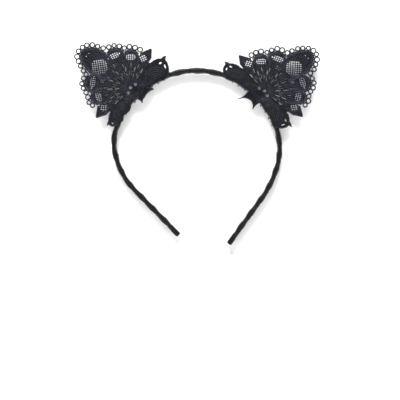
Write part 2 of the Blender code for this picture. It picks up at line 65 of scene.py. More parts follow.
bpy.ops.object.camera_add(
    location=[value * MM for value in VIEW_FROM], rotation=(math.radians(90), 0, 0)
)
bpy.context.object.name = "front_camera"
bpy.context.object.data.lens = VIEW_LENS
bpy.context.scene.camera = bpy.context.object
bpy.context.scene.view_settings.view_transform = "Standard"

# ---------------------------------------------------------------- spring core
# The core is one narrow strip of spring steel, flat to the head, which gives the arch its grip.
# It is rolled and slit from coil, then bent; the ribbon hides all of it.
STRIP_ROLL_PITCH = 0.15  # from one rolling line on the strip to the next


def srgb(code):
    """Linear colour from an sRGB hex value."""
    parts = [int(code[i : i + 2], 16) / 255 for i in (1, 3, 5)]
    linear = [p / 12.92 if p <= 0.04045 else ((p + 0.055) / 1.055) ** 2.4 for p in parts]
    return (*linear, 1.0)


def new_material(name, inputs):
    """A material and its main shader, with the shader's inputs set."""
    material = bpy.data.materials.new(name)
    material.use_nodes = True
    shader = material.node_tree.nodes["Principled BSDF"]
    for socket, value in inputs.items():
        shader.inputs[socket].default_value = value
    return material, shader


def add_node(material, kind, inputs=None, **settings):
    """Add a shader node, set its properties, and set or link its inputs."""
    made = material.node_tree.nodes.new(kind)
    for name, value in settings.items():
        setattr(made, name, value)
    for name, value in (inputs or {}).items():
        if isinstance(value, bpy.types.NodeSocket):
            material.node_tree.links.new(value, made.inputs[name])
        else:
            made.inputs[name].default_value = value
    return made


def feed(material, socket, target):
    material.node_tree.links.new(socket, target)


def two_tone(material, factor, dark, light, stops=(0.0, 1.0)):
    """Colour that runs from a dark to a light hex value."""
    tint = add_node(material, "ShaderNodeValToRGB", {"Fac": factor})
    for stop, place, code in zip(tint.color_ramp.elements, stops, (dark, light)):
        stop.position = place
        stop.color = srgb(code)
    return tint.outputs[0]


def add_bump(material, shader, height, strength, depth):
    inputs = {"Height": height, "Strength": strength, "Distance": depth * MM}
    feed(material, add_node(material, "ShaderNodeBump", inputs).outputs[0], shader.inputs["Normal"])


def rolled_spring_steel():
    """Bright rolled strip: grey, brushed along by the rolls, with faint blue tempering."""
    material, shader = new_material("rolled_spring_steel", {"Metallic": 1.0})
    place = add_node(material, "ShaderNodeTexCoord").outputs["Object"]
    stretch = (1.0, 1 / (STRIP_ROLL_PITCH * MM), 1.0)
    lines = add_node(material, "ShaderNodeMapping", {"Vector": place, "Scale": stretch})
    grain = add_node(material, "ShaderNodeTexNoise", {"Vector": lines.outputs[0], "Scale": 1.0})
    tint = two_tone(material, grain.outputs[0], "#8d9095", "#b9bbbe")
    feed(material, tint, shader.inputs["Base Color"])
    rough = add_node(
        material, "ShaderNodeMapRange", {"Value": grain.outputs[0], "To Min": 0.25, "To Max": 0.42}
    )
    feed(material, rough.outputs[0], shader.inputs["Roughness"])
    return material


steel = rolled_spring_steel()
for node_name in ("core_crown", "core_left", "core_right"):
    frame["nodes"][node_name].data.materials.clear()
    frame["nodes"][node_name].data.materials.append(steel)

# ---------------------------------------------------------------- ribbon winding
# Black polyester satin ribbon, wound by hand over the core in overlapping turns, pulled tight.
# Each turn's edge lies on the turn before it, so the band swells and narrows along its length.
BAND_HALF_WIDTH = 3.3  # front to back, under the last layer
BAND_HALF_HEIGHT = 1.66
WIND_PITCH = 12.6  # along the band, one turn to the next
WIND_COVER = 1.5  # ribbon width along the band, in turns
WIND_LIFT = 0.45  # how far a turn's free edge stands off the band
WIND_SWELL = 0.15  # swelling of the band between laps, as a share of its height
WIND_SLIP = 0.09  # how unevenly the turns are laid, in turns
WIND_LEAN = 0.13  # how much flatter a turn runs along the two narrow faces, in turns
WIND_PHASE = 1.0  # where along the band the first swelling lies, in radians
SLIP_PHASE = 3.0  # how far the swelling moves with the slips
RIBBON_THICKNESS = 0.15
TURN_STEPS = 36
ACROSS_STEPS = 10
CROWN_JOIN = -4.5  # the two windings meet here, left of the crown's middle
FLEX_BEND = (5.0, 19.0)  # stretch of the band that bends as an arm opens
TUCK_LENGTH = 9.0
TUCK_COVER = 1.0  # the winding runs this far under the tuck
WARP_SCALE = (40.0, 110.0, 1.0)  # streaks of the satin, along and across the ribbon: thread relief and painted sheen
BAND_MIDDLE = 1.9  # the band's middle line over its inner face
CROWN_RADIUS = 65.0
CROWN_ARC = (CROWN_RADIUS, math.radians(70.5))  # radius and sweep; the next arcs follow it down
LEFT_ARCS = [CROWN_ARC, (36.0, math.radians(28.0)), (57.0, math.radians(36.0))]
RIGHT_ARCS = [CROWN_ARC, (50.0, math.radians(35.0)), (79.0, math.radians(20.5))]
ARMS = {
    "left": {"side": -1, "arcs": LEFT_ARCS, "tail": 47.4},
    "right": {"side": 1, "arcs": RIGHT_ARCS, "tail": 42.0},
}


def band_point(name, along):
    """Middle of the band at a distance from the crown's: place, outward and forward directions."""
    arm = ARMS[name]
    x, z, heading, left = 0.0, BAND_MIDDLE, 0.0, along
    for radius, sweep in arm["arcs"]:
        step = min(left, radius * sweep)
        turned = heading + step / radius
        x += radius * (math.sin(turned) - math.sin(heading))
        z -= radius * (math.cos(heading) - math.cos(turned))
        heading = turned
        left -= step
        if left <= 0:
            break
    x += max(left, 0.0) * math.cos(heading)
    z -= max(left, 0.0) * math.sin(heading)
    side = arm["side"]
    outward = Vector((side * math.sin(heading), 0, math.cos(heading)))
    forward = Vector((side * math.cos(heading), 0, -math.sin(heading)))
    return Vector((side * x, 0, z)), outward, forward


def arm_length(name):
    arm = ARMS[name]
    return sum(radius * sweep for radius, sweep in arm["arcs"]) + arm["tail"]


def rounded(angle, power=0.72):
    """Cosine drawn out towards a rounded rectangle."""
    value = math.cos(angle)
    return math.copysign(abs(value) ** power, value)


def deselect():
    if bpy.context.object and bpy.context.object.mode != "OBJECT":
        bpy.ops.object.mode_set(mode="OBJECT")
    bpy.ops.object.select_all(action="DESELECT")


def bend_to_arch(piece, name):
    """Bend a piece made along a straight bar (X along, Y across, Z outward) onto the arch."""
    for vertex in piece.data.vertices:
        along, across, out = vertex.co / MM
        point, outward, _ = band_point(name, along)
        vertex.co = (point + outward * out + Vector((0, across, 0))) * MM


def trim_bar(piece, start, end):
    """Cut a straight piece square at both ends."""
    bpy.ops.object.mode_set(mode="EDIT")
    for place, way in ((start, 1), (end, -1)):
        bpy.ops.mesh.select_all(action="SELECT")
        bpy.ops.mesh.bisect(
            plane_co=(place * MM, 0, 0), plane_no=(way, 0, 0), clear_inner=True, threshold=1e-6
        )
    bpy.ops.object.mode_set(mode="OBJECT")


def wind_ribbon(name, start, end):
    """One ribbon wound from the crown to the tip, as a strip that climbs over its own last turn."""
    deselect()
    turns = math.ceil((end - start) / WIND_PITCH + WIND_COVER) + 1
    bpy.ops.mesh.primitive_grid_add(
        x_subdivisions=turns * TURN_STEPS, y_subdivisions=ACROSS_STEPS, size=2, calc_uvs=True
    )
    ribbon = bpy.context.object
    ribbon.name = ribbon.data.name = f"ribbon_winding_{name}"
    hand = random.Random(f"winding {name}")
    slips = [hand.uniform(-WIND_SLIP, WIND_SLIP) for _ in range(turns + 3)]
    side = ARMS[name]["side"]
    for vertex in ribbon.data.vertices:
        turn = (vertex.co.x + 1) / 2 * turns
        across = (vertex.co.y + 1) / 2
        whole = int(turn)
        slip = slips[whole] + (slips[whole + 1] - slips[whole]) * (turn - whole)
        angle = 2 * math.pi * turn * side
        lean = WIND_LEAN * math.sin(2 * angle)
        place = start + WIND_PITCH * (turn - WIND_COVER + across * WIND_COVER + lean * side + slip)
        lift = WIND_LIFT * (1 - across)
        phase = 2 * math.pi * (place / WIND_PITCH) + WIND_PHASE + SLIP_PHASE * slip
        swell = 1 + WIND_SWELL * math.sin(phase)
        vertex.co = Vector((
            place,
            (BAND_HALF_WIDTH + lift) * rounded(angle),
            (BAND_HALF_HEIGHT * swell + lift) * rounded(angle - math.pi / 2),
        )) * MM  # fmt: skip
    trim_bar(ribbon, start, end)
    bend_to_arch(ribbon, name)
    modifier = ribbon.modifiers.new("ribbon thickness", "SOLIDIFY")
    modifier.thickness = RIBBON_THICKNESS * MM
    modifier.offset = 0
    bpy.ops.object.modifier_apply(modifier=modifier.name)
    ribbon.data.shade_smooth()
    return ribbon


def satin_ribbon():
    """Black polyester satin: a smooth warp face, with soft streaks of painted sheen along the ribbon."""
    surface = {"Roughness": 0.34, "IOR": 1.5, "Specular IOR Level": 0.17}
    sheen = {"Sheen Weight": 0.02, "Sheen Roughness": 0.4, "Sheen Tint": srgb("#8a8f9c")}
    material, shader = new_material("black_satin_ribbon", {**surface, **sheen})
    place = add_node(material, "ShaderNodeTexCoord").outputs["UV"]
    warp = add_node(material, "ShaderNodeMapping", {"Vector": place, "Scale": WARP_SCALE})
    thread_relief_and_painted_sheen = add_node(
        material, "ShaderNodeTexNoise", {"Vector": warp.outputs[0], "Scale": 1.0, "Detail": 3.0}
    )
    # the lighter streaks in the base colour are painted sheen; the same noise also gives the thread
    # relief
    tint = two_tone(material, thread_relief_and_painted_sheen.outputs[0], "#040506", "#131419", (0.35, 0.7))
    feed(material, tint, shader.inputs["Base Color"])
    add_bump(material, shader, thread_relief_and_painted_sheen.outputs[0], 0.35, 0.15)
    return material


ribbon_satin = satin_ribbon()
for name in ARMS:
    start = -CROWN_JOIN if name == "left" else CROWN_JOIN
    winding = wind_ribbon(name, start, arm_length(name) - TUCK_LENGTH + TUCK_COVER)
    winding.data.materials.append(ribbon_satin)
    bend = [band_point(name, along)[0] * MM for along in FLEX_BEND]
    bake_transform(winding)
    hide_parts(f"ribbon_{name}")
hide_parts("ribbon_right", "ribbon_crown")

# ---------------------------------------------------------------- ribbon tucks at the tips
# At each tip the ribbon's end is folded over the steel, pressed flat and glued, so that no edge
# of the strip can scratch. The fold's cut edge shows as a small step on the outer face.
TUCK_HALF = (3.55, 1.85)
TUCK_CORNER = 1.1
TUCK_FOLD = 1.0  # the fold stands past the steel's end
FLAP_LENGTH = 5.5
FLAP_HALF = (2.4, 0.22)
FLAP_INSET = 0.8  # from the very tip
FLAP_RISE = 0.05
FLAP_CORNER = 0.15
TUCK_EDGE = math.radians(50)  # edges sharper than this stay crisp


def bar_block(length, half_width, half_height, middle, corner):
    """Rounded block on the straight bar, cut into short lengths so that it can bend."""
    deselect()
    bpy.ops.mesh.primitive_cube_add(size=2, location=[value * MM for value in middle])
    block = bpy.context.object
    block.scale = (length / 2 * MM, half_width * MM, half_height * MM)
    bpy.ops.object.transform_apply(location=True, rotation=False, scale=True)
    bevel = block.modifiers.new("pressed edges", "BEVEL")
    bevel.width = corner * MM
    bevel.segments = 4
    bpy.ops.object.modifier_apply(modifier=bevel.name)
    bpy.ops.object.mode_set(mode="EDIT")
    steps = max(3, round(length))
    for i in range(1, steps):
        bpy.ops.mesh.select_all(action="SELECT")
        place = middle[0] - length / 2 + length * i / steps
        bpy.ops.mesh.bisect(plane_co=(place * MM, 0, 0), plane_no=(1, 0, 0), threshold=1e-7)
    bpy.ops.object.mode_set(mode="OBJECT")
    return block


for name in ARMS:
    tip = arm_length(name) + TUCK_FOLD
    length = TUCK_LENGTH + TUCK_FOLD
    cap = bar_block(length, *TUCK_HALF, (tip - length / 2, 0, 0), TUCK_CORNER)
    flap_middle = (tip - FLAP_INSET - FLAP_LENGTH / 2, 0, TUCK_HALF[1] + FLAP_RISE)
    flap = bar_block(FLAP_LENGTH, *FLAP_HALF, flap_middle, FLAP_CORNER)
    deselect()
    flap.select_set(True)
    cap.select_set(True)
    bpy.context.view_layer.objects.active = cap
    bpy.ops.object.join()
    cap.name = cap.data.name = f"ribbon_tuck_{name}"
    bend_to_arch(cap, name)
    bpy.ops.object.transform_apply()
    cap.data.shade_smooth()
    cap.data.set_sharp_from_angle(angle=TUCK_EDGE)
    cap.data.materials.append(ribbon_satin)
    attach(cap, f"{name}_side")
    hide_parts(f"tip_tuck_{name}")

# ---------------------------------------------------------------- lace ears: ground
# Guipure lace: an embroidery machine stitches the whole motif in black rayon on a film that is
# then washed away, so the thread holds only itself. The ground is the dense fill under the ribs.
LACE_Y = -4.3
GROUND_THICKNESS = 0.36
GROUND_EDGE = 0.1
HUB_DROP = 6.2  # the hub lies this far under the line between the side spikes
TIP_CENTRE = 29.3
EAR_REACH = 45.8
PETALS = [  # direction, centre from the hub, half length, half width
    (0.0, TIP_CENTRE, EAR_REACH - TIP_CENTRE, 9.2),
    (28.5, 25.4, 8.0, 7.3),
    (53.5, 22.3, 7.3, 6.5),
]
# A side spike: its direction, its point and root from the hub, degrees to either side, hollowness
SPIKE = {"angle": 79.7, "reach": 34.4, "root": 28.3, "upper": 12.0, "lower": 6.0, "hollow": 1.3}
SEWN_STEPS = 16  # parts of each stretch of the edge sewn to the band
FOLD_MARGIN = 0.6  # openings nearer the fold than this are left out
WINDOW_LAP = 0.2  # the ground reaches this far under the windows' cords
CREASES = 6  # strips that the bending stretch is cut into
FAN_HALF_ANGLE = 88.0
FAN_ROOT = 24.0
WINDOWS = {  # direction, centre from the hub, half along the ray, half across it
    "tip": (0.0, 28.5, 6.5, 6.2),
    "inner": (27.0, 28.3, 2.2, 5.6),
    "outer": (53.4, 24.4, 2.6, 4.2),
    "spike": (74.8, 25.0, 3.2, 3.0),
}
SLOT_ANGLES = (14.0, 40.0, 65.0, 85.0)
SLOT_REACHES = (10.0, 15.2)
SLOT_HALF = (2.1, 0.45)
# Distance of a ring of slits from the hub, and their directions
SLIT_ANGLES = {12.0: (4.5, 22.5, 31.5, 49.5, 58.5, 76.5), 18.0: (9.0, 36.0, 54.0, 72.0)}
SLIT_HALF = (1.9, 0.19)
RADIAL_HOLES = [(angle, reach, *SLOT_HALF) for angle in SLOT_ANGLES for reach in SLOT_REACHES]
RADIAL_HOLES += [(angle, reach, *SLIT_HALF) for reach in SLIT_ANGLES for angle in SLIT_ANGLES[reach]]
HUB_EYELETS = [(0.0, -6.2), (4.2, -7.6), (-4.2, -7.6)]
HUB_EYELET_HALF = 1.25
SIDE_EYELET = (21.0, 21.5, 1.7, 1.7)
TIP_EYELETS = [(angle, 41.6, 0.4, 0.4) for angle in (-2.2, 0.0, 2.2)]
EAR_SEAT = math.radians(45.2)  # along the crown's arc from its middle
SEAT_TO_SPIKES = 13.6
SPRAY_EDGE = [(21.7, 10.6), (24.0, 10.9), (26.5, 10.6), (28.6, 9.8), (30.0, 10.3), (31.6, 10.2)]
SPRAY_EDGE += [(30.6, 8.6), (31.3, 6.5), (31.3, 4.0), (30.3, 1.2), (28.4, -1.2)]  # along, out
SPRAY_EYELETS = [(23.6, 8.7, 1.3, 0.55), (27.0, 7.9, 1.0, 0.55), (29.2, 5.0, 0.5, 1.2)]
SPRAY_HEEL = 28.4  # from the ear's seat to the upper end of the sewn edge
SPRAY_LAP = 1.2  # the sewn edge, below the band's middle line
THORN_HEIGHT = 9.1
HOOK_ROOT = 6.3  # half the width of the pair of hooks at the sewn edge
HOOK_VALLEY = 5.5
FOLD_BEND = 1.8  # half the width of the strip of lace that bends at the fold
EARS = {  # lean, turn and bend of the tip in degrees, slide along the band and lift off it
    "left": {
        "lean": 10.6, "bend": -3.3, "turn": 6.1, "slide": 0.2, "lift": -0.6, "hook_at": -4.3,
        "hook_tips": ((5.3, -8.0), (-9.7, -4.9)), "low_share": 0.94,
        "hook_bows": (0.9, 0.9, 0.8, 0.2),  # flank, hollow, hollow, flank
        "scallops": [(25.3, 18.4, 1.9), (18.4, 7.4, 2.7)],  # from, to, depth, on the sewn edge
    },
    "right": {
        "lean": 6.9, "bend": -0.9, "turn": -1.3, "slide": 2.9, "lift": -0.9, "hook_at": -0.3,
        "hook_tips": ((7.0, -9.5), (-8.9, -11.6)), "low_share": 1.0,
        "hook_bows": (1.0, 0.9, 1.3, 1.3), "scallops": [],
    },
}  # fmt: skip


def turned(vector, degrees):
    return Matrix.Rotation(math.radians(degrees), 3, "Y") @ vector


def round_turns(count):
    return [2 * math.pi * i / count for i in range(count)]


def fan_angles():
    """Every half degree from one end of the fan to the other."""
    last = round(2 * FAN_HALF_ANGLE)
    return [i / 2 for i in range(-last, last + 1)]


class Ear:
    """Where one ear sits on the band, and points of its fan and of its base spray."""

    def __init__(self, name):
        self.name, self.shape, self.side = name, EARS[name], ARMS[name]["side"]
        self.seat = CROWN_RADIUS * EAR_SEAT
        seat, outward, forward = band_point(name, self.seat)
        self.axis = turned(outward, self.side * self.shape["lean"])
        self.width = turned(forward, self.side * self.shape["turn"])
        self.middle = seat + outward * (SEAT_TO_SPIKES + self.shape["lift"])
        self.middle += forward * self.shape["slide"]
        joint = next(j for j in frame["joints"] if j["name"] == f"{name}_ear_fold")
        self.fold = Vector(joint["pos_m"]) / MM
        self.beyond = turned(self.width, -self.side * 90)

    def on_fan(self, u, v):
        return self.middle + self.width * u + self.axis * v

    def on_ray(self, angle, reach):
        turn = math.radians(angle)
        return self.on_fan(reach * math.sin(turn), reach * math.cos(turn) - HUB_DROP)

    def by_ray(self, angle, reach, along, across):
        """Point near one on a ray: along the ray, and across it."""
        turn = math.radians(angle)
        u = reach * math.sin(turn) + along * math.sin(turn) + across * math.cos(turn)
        v = reach * math.cos(turn) + along * math.cos(turn) - across * math.sin(turn)
        return self.on_fan(u, v - HUB_DROP)

    def on_band(self, s, h):
        point, outward, _ = band_point(self.name, self.seat + s)
        tilt = math.radians(self.shape["turn"]) * s / THORN_HEIGHT
        return point + outward * (h - max(h, 0.0) * tilt)

    def reach(self, angle):
        """Outline of the fan, as a distance from the hub."""
        bend = self.shape["bend"]
        side_petals = [petal_reach(abs(angle), petal) for petal in PETALS[1:]]
        tip_petal = petal_reach(angle - bend, PETALS[0])
        return max([FAN_ROOT, spike_reach(abs(angle)), tip_petal] + side_petals)


def petal_reach(angle, petal):
    """Far side of a petal along a ray from the hub, or 0 where the ray misses it."""
    direction, centre, half_length, half_width = petal
    turn = math.radians(angle - direction)
    if abs(turn) > math.pi / 2:
        return 0.0
    a = (math.cos(turn) / half_length) ** 2 + (math.sin(turn) / half_width) ** 2
    b = -2 * centre * math.cos(turn) / half_length**2
    root = b * b - 4 * a * ((centre / half_length) ** 2 - 1)
    return (-b + math.sqrt(root)) / (2 * a) if root > 0 else 0.0


def spike_reach(angle):
    off = angle - SPIKE["angle"]
    share = max(0.0, 1.0 - abs(off) / (SPIKE["lower"] if off > 0 else SPIKE["upper"]))
    return SPIKE["root"] + (SPIKE["reach"] - SPIKE["root"]) * share ** SPIKE["hollow"] if share else 0.0


def bowed(start, end, bulge, steps=10):
    """Points from start to end, bowed sideways; both ends are kept."""
    (x0, y0), (x1, y1) = start, end
    length = math.hypot(x1 - x0, y1 - y0)
    points = []
    for i in range(steps + 1):
        t = i / steps
        push = bulge * 4 * t * (1 - t) / length
        points.append((x0 + (x1 - x0) * t + (y1 - y0) * push, y0 + (y1 - y0) * t - (x1 - x0) * push))
    return points


def both_sides(item):
    return [item] if item[0] == 0 else [item, (-item[0], *item[1:])]


def oval(ear, window, grow=0.0, steps=32):
    """Loop round a window or eyelet of the fan."""
    angle, reach, along, across = window
    return [
        ear.by_ray(angle, reach, (along + grow) * math.cos(t), (across + grow) * math.sin(t))
        for t in round_turns(steps)
    ]


def hub_loop(ear, eyelet, half, steps):
    """Loop round one of the three eyelets at the hub."""
    u, v = eyelet
    return [ear.on_fan(u + half * math.cos(t), v + half * math.sin(t)) for t in round_turns(steps)]


def band_oval(ear, s, h, half_s, half_h, steps=16):
    """Loop round an eyelet of the base spray."""
    return [
        ear.on_band(s + half_s * math.cos(t), h + half_h * math.sin(t)) for t in round_turns(steps)
    ]


def hook_edges(ear):
    """The four edges of the pair of hooks below the band: flank, hollow, hollow, flank."""
    (low_s, low_h), (high_s, high_h) = ear.shape["hook_tips"]
    at = ear.shape["hook_at"]
    low, high, valley = (at + low_s, low_h), (at + high_s, high_h), (at, -HOOK_VALLEY)
    corners = [(at + HOOK_ROOT, -SPRAY_LAP), low, valley, high, (at - HOOK_ROOT, -SPRAY_LAP)]
    return [bowed(*edge) for edge in zip(corners, corners[1:], ear.shape["hook_bows"])]


def ear_outline(ear):
    """Whole edge of the motif: round the fan, then back along the spray."""
    fan = [ear.on_ray(angle, ear.reach(angle)) for angle in fan_angles()]
    low = ear.shape["low_share"]
    edge = [(s * low, h) for s, h in SPRAY_EDGE]
    hooks = hook_edges(ear)
    steps = SEWN_STEPS
    for start, end, depth in ear.shape["scallops"]:
        edge += bowed((start, -SPRAY_LAP), (end, -SPRAY_LAP), -depth)
    heel = edge[-1][0]
    edge += [(heel + (hooks[0][0][0] - heel) * i / steps, -SPRAY_LAP) for i in range(1, steps)]
    for hook_edge, first in zip(hooks, (0, 1, 0, 1)):  # the very tips are left to the cords
        edge += hook_edge[first:-1]
    end = hooks[-1][-1][0]
    edge += [(end + (-SPRAY_HEEL - end) * i / steps, -SPRAY_LAP) for i in range(steps)]
    edge += [(-s, h) for s, h in reversed(SPRAY_EDGE)]
    return fan + [ear.on_band(s, h) for s, h in edge]


def clear_of_fold(ear, loop):
    heights = [(point - ear.fold).dot(ear.beyond) for point in loop]
    return min(heights) > FOLD_MARGIN or max(heights) < -FOLD_MARGIN


def ear_holes(ear):
    holes = []
    for window in WINDOWS.values():
        holes += [oval(ear, one, -WINDOW_LAP) for one in both_sides(window)]
    for slot in RADIAL_HOLES + [SIDE_EYELET]:
        holes += [oval(ear, one, steps=12) for one in both_sides(slot)]
    for eyelet in TIP_EYELETS:
        holes.append(oval(ear, (eyelet[0] + ear.shape["bend"], *eyelet[1:]), steps=10))
    holes += [hub_loop(ear, eyelet, HUB_EYELET_HALF, 16) for eyelet in HUB_EYELETS]
    for s, h, half_s, half_h in SPRAY_EYELETS:
        for place in (s * ear.shape["low_share"], -s):
            loop = band_oval(ear, place, h, half_s, half_h)
            if clear_of_fold(ear, loop):
                holes.append(loop)
    return holes


def mesh_of(curve):
    """The curve as a piece of its own, made a mesh."""
    piece = bpy.data.objects.new(curve.name, curve)
    bpy.context.scene.collection.objects.link(piece)
    piece.select_set(True)
    bpy.context.view_layer.objects.active = piece
    bpy.ops.object.convert(target="MESH")
    return piece


def weld(threshold):
    """Join the active piece's doubled points and turn its faces outward."""
    bpy.ops.object.mode_set(mode="EDIT")
    bpy.ops.mesh.select_all(action="SELECT")
    bpy.ops.mesh.remove_doubles(threshold=threshold)
    bpy.ops.mesh.normals_make_consistent(inside=False)
    bpy.ops.object.mode_set(mode="OBJECT")


def cut_sheet(name, loops, middle_y, thickness):
    """Flat sheet with holes in the plane of the lace, from its edge loops, with its rims rounded."""
    deselect()
    curve = bpy.data.curves.new(name, "CURVE")
    curve.dimensions = "2D"
    curve.fill_mode = "BOTH"
    curve.extrude = (thickness / 2 - GROUND_EDGE) * MM
    curve.bevel_depth = GROUND_EDGE * MM
    curve.bevel_resolution = 1
    curve.offset = -GROUND_EDGE * MM
    for loop in loops:
        spline = curve.splines.new("POLY")
        spline.points.add(len(loop) - 1)
        spline.use_cyclic_u = True
        for spot, point in zip(spline.points, loop):
            spot.co = (point.x * MM, point.z * MM, 0, 1)
    sheet = mesh_of(curve)
    sheet.rotation_euler = (math.radians(90), 0, 0)
    sheet.location = (0, middle_y * MM, 0)
    bpy.ops.object.transform_apply()
    weld(1e-6)
    return sheet


def crease_lines(sheet, ear):
    """Cut a flat sheet into narrow strips along its fold, so that it can bend there."""
    bpy.ops.object.mode_set(mode="EDIT")
    for i in range(CREASES + 1):
        bpy.ops.mesh.select_all(action="SELECT")
        spot = ear.fold + ear.beyond * FOLD_BEND * (2 * i / CREASES - 1)
        bpy.ops.mesh.bisect(plane_co=spot * MM, plane_no=ear.beyond, threshold=1e-7)
    bpy.ops.object.mode_set(mode="OBJECT")


def fold_with_ear(piece):
    """Bake the piece's placing into its mesh."""
    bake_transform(piece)


STITCH_PITCH = 0.6
WAVE_RINGS = 3.2  # rings of the wave texture in one unit of length
PATCH_SIZE = 2.2  # of lighter and darker stitches


def embroidery_rayon(kind, ear, dark, light, gloss):
    """Black rayon embroidery: satin stitches with a dull violet sheen, broken up stitch by stitch."""
    surface = {"Roughness": 0.42, "IOR": 1.5, "Specular IOR Level": gloss}
    sheen = {"Sheen Weight": 0.02, "Sheen Roughness": 0.45, "Sheen Tint": srgb("#8f8ca6")}
    material, shader = new_material(f"black_rayon_{kind}_{ear.name}", {**surface, **sheen})
    place = add_node(material, "ShaderNodeTexCoord").outputs["Object"]
    hub = ear.on_ray(0, 0) * MM
    centred = add_node(material, "ShaderNodeVectorMath", {0: place, 1: hub}, operation="SUBTRACT")
    stitches = add_node(
        material,
        "ShaderNodeTexWave",
        {"Vector": centred.outputs[0], "Scale": 1 / (STITCH_PITCH * MM) / WAVE_RINGS,
         "Distortion": 2.0, "Detail": 2.0, "Detail Scale": 3.0},
        wave_type="RINGS",
        rings_direction="Y",
    )  # fmt: skip
    patches = add_node(
        material, "ShaderNodeTexNoise", {"Vector": place, "Scale": 1 / (PATCH_SIZE * MM), "Detail": 4.0}
    )
    tint = two_tone(material, patches.outputs[0], dark, light, (0.35, 0.68))
    feed(material, tint, shader.inputs["Base Color"])
    add_bump(material, shader, stitches.outputs["Fac"], 0.4, 0.12)
    return material


ears = {name: Ear(name) for name in EARS}
fill_rayon_painted_shade = {}  # the flat fill lies between the ribs; its darker colours are painted shade
rayon = {}
for name, ear in ears.items():
    # the fill is a darker copy of the stitch rayon below: painted shade between the ribs
    fill_rayon_painted_shade[name] = embroidery_rayon("fill", ear, "#07080b", "#101218", 0.12)
    rayon[name] = embroidery_rayon("satin_stitch", ear, "#0c0d13", "#232633", 0.2)
for name, ear in ears.items():
    loops = [ear_outline(ear)] + ear_holes(ear)
    ground = cut_sheet(f"lace_ground_{name}", loops, LACE_Y, GROUND_THICKNESS)
    crease_lines(ground, ear)
    ground.data.materials.append(fill_rayon_painted_shade[name])
    fold_with_ear(ground)
    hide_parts(f"lace_base_{name}", f"lace_fan_{name}")

# ---------------------------------------------------------------- lace ears: ribs
# Raised satin-stitch ribs run out from the hub like the sticks of a fan, more and more of them
# on the way, so that they stay close together. They leave gaps at the open slots.
RIB_ZONES = [  # from, to, and degrees apart
    (2.2, 8.0, 12.0),
    (7.2, 12.6, 9.0),
    (11.2, 22.5, 4.5),
    (21.5, 46.0, 2.7),
]
RIB_RADII = (0.26, 0.47)  # where a rib starts, and after it has widened
RIB_WIDENING = 4.0  # along the rib
RIB_SPREAD = 86.0  # direction of the outermost ribs
RIB_STEP = 0.8
RIB_PROUD = 0.1
RIB_CLEAR = 0.15  # of the openings
RIB_INSET = 0.5  # from the fan's edge
TIP_BEND_WIDTH = 14.0  # degrees either side that lean with the tip petal


def lay_cords(name, paths, sides=1, flatten=0.75):
    """Round cords along paths of (place, radius), made one mesh and pressed a little flat."""
    deselect()
    curve = bpy.data.curves.new(name, "CURVE")
    curve.dimensions = "3D"
    curve.bevel_depth = MM
    curve.bevel_resolution = sides
    curve.use_fill_caps = True
    for path in paths:
        spline = curve.splines.new("POLY")
        spline.points.add(len(path) - 1)
        for spot, (point, radius) in zip(spline.points, path):
            spot.co = (point.x * MM, point.y * MM, point.z * MM, 1)
            spot.radius = radius
    cords = mesh_of(curve)
    for vertex in cords.data.vertices:
        vertex.co.y = LACE_Y * MM + (vertex.co.y - LACE_Y * MM) * flatten
    weld(1e-7)
    cords.data.shade_smooth()
    return cords


def at_lace(point, proud=0.0):
    return Vector((point.x, LACE_Y - proud, point.z))


def in_hole(angle, reach, margin):
    """True where a place of the fan lies over a window, slot or eyelet."""
    point = (reach * math.sin(math.radians(angle)), reach * math.cos(math.radians(angle)))
    for hole in list(WINDOWS.values()) + [SIDE_EYELET] + RADIAL_HOLES:
        for direction, centre, along, across in both_sides(hole):
            turn = math.radians(direction)
            x, y = point[0] - centre * math.sin(turn), point[1] - centre * math.cos(turn)
            p, q = x * math.sin(turn) + y * math.cos(turn), x * math.cos(turn) - y * math.sin(turn)
            if (p / (along + margin)) ** 2 + (q / (across + margin)) ** 2 < 1:
                return True
    return False


def rib_paths(ear):
    paths = []
    for start, end, pitch in RIB_ZONES:
        count = int(RIB_SPREAD / pitch)
        for i in range(-count, count + 1):
            angle = i * pitch + ear.shape["bend"] * math.exp(-((i * pitch / TIP_BEND_WIDTH) ** 2))
            stop = min(end, ear.reach(angle) - RIB_INSET)
            steps = max(2, int((stop - start) / RIB_STEP))
            run = []
            for k in range(steps + 1):
                reach = start + (stop - start) * k / steps
                share = min(1.0, (reach - start) / RIB_WIDENING)
                radius = RIB_RADII[0] + (RIB_RADII[1] - RIB_RADII[0]) * share
                if in_hole(angle, reach, RIB_CLEAR):
                    if len(run) > 1:
                        paths.append(run)
                    run = []
                else:
                    run.append((at_lace(ear.on_ray(angle, reach), RIB_PROUD), radius))
            if len(run) > 1:
                paths.append(run)
    return paths


for name, ear in ears.items():
    ribs = lay_cords(f"fan_ribs_{name}", rib_paths(ear))
    ribs.data.materials.append(rayon[name])
    fold_with_ear(ribs)

# ---------------------------------------------------------------- lace ears: outline cords
# Thick satin-stitch cords edge every petal, window and eyelet and carry the shape of the ear.
# They are worked last, over the ribs, and stand proud of them.
PETAL_CORD = 0.8
PETAL_INSET = 0.6
PETAL_SWEEP = 150  # a petal's cord runs this many degrees either side of its tip
PETAL_FADE = 60  # degrees over which it thins at both ends
PETAL_THIN = 0.3  # what is left of its thickness there
SPIKE_CORD = 0.62
SPIKE_INSET = 0.35
SPIKE_RUN = (-13.0, 20.5)  # where a spike's cord starts, from its direction, and its sweep
WINDOW_CORD = 0.42
EYELET_CORD = 0.3
HUB_CORD = 0.36
CORD_OFFSET = 0.15  # the cords lie this far outside the openings' edges
HUB_OFFSET = 0.25
CORD_PROUD = 0.2
TIP_PROUD = 0.3


def loop_path(loop, radius, proud=0.15):
    closed = loop + [loop[0]]
    return [(at_lace(point, proud), radius) for point in closed]


